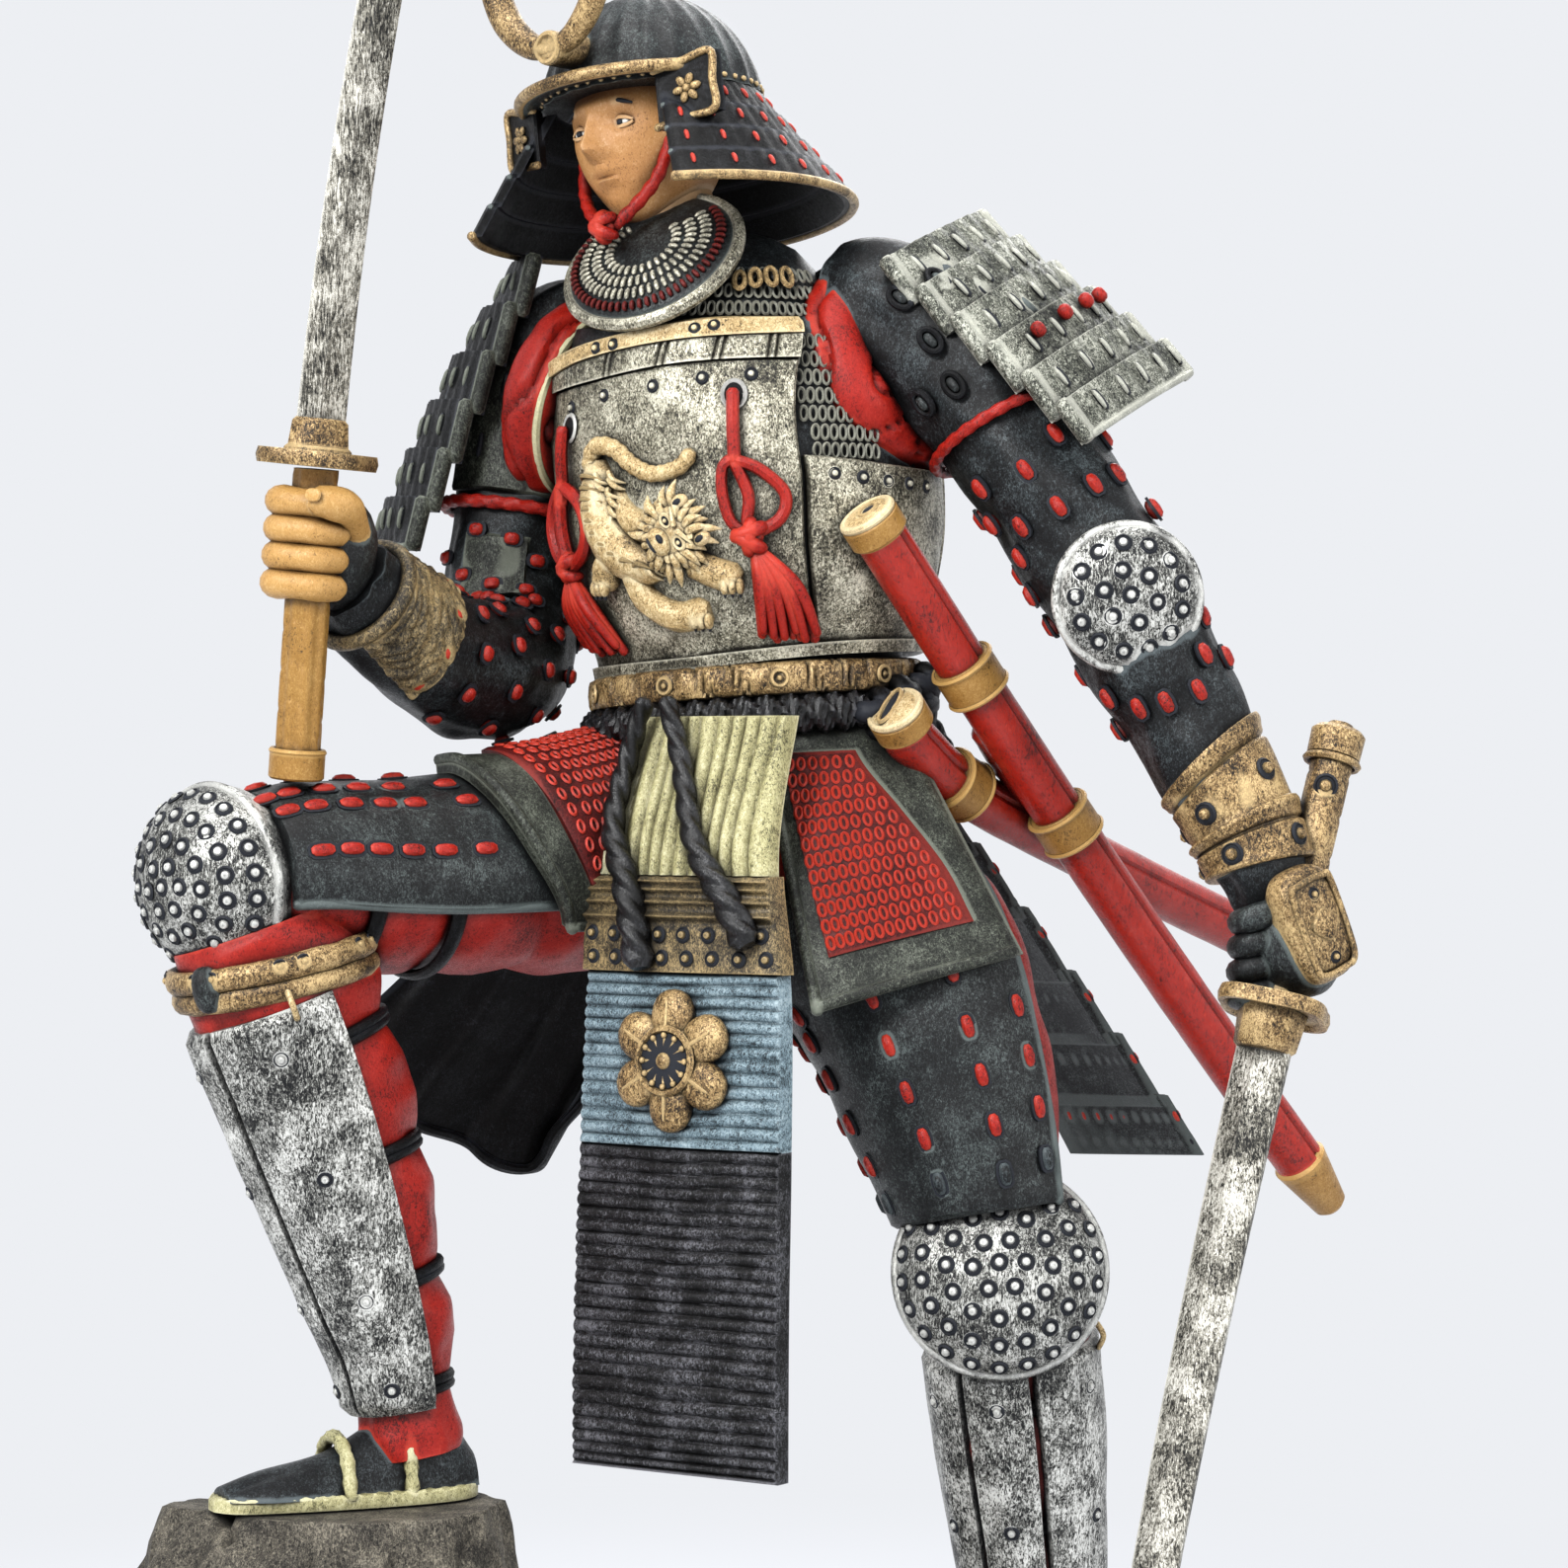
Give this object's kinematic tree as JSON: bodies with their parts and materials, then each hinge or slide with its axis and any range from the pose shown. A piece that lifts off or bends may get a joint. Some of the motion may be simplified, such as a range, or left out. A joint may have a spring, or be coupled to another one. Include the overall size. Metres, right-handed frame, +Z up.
{
  "type": "samurai figurine",
  "caption": "Painted resin warrior in traditional plate and laced armour, one foot on a boulder, a long sword raised in one hand and a short sword held low in the other, on an oval ground slab.",
  "frame": {"origin": "centre of the base's underside", "axes": "+Z up; the picture's camera looks along +Y, and +X is to its right"},
  "size_m": [0.1964, 0.1245, 0.3313],
  "materials": {
    "stone": "painted resin, stone texture",
    "dark_armour": "painted resin, satin, dry-brushed",
    "silvered_armour": "painted resin, silver dry-brushed over black",
    "gilt": "painted resin, antique gold over black",
    "red_lacquer": "painted resin, satin red with a dark wash",
    "blue_grey_cloth": "painted resin, satin, dark wash in the grooves",
    "black_cloth": "painted resin, satin black"
  },
  "bodies": {
    "root": {"base": "stone", "body": "dark_armour", "head": "dark_armour", "helmet_crest": "gilt", "right_arm": "dark_armour", "left_arm": "dark_armour", "right_shoulder_guard": "dark_armour", "left_shoulder_guard": "silvered_armour", "long_sword": "silvered_armour", "short_sword": "silvered_armour", "scabbards": "red_lacquer", "front_apron": "blue_grey_cloth", "coat_tail": "black_cloth"}
  },
  "joints": []
}
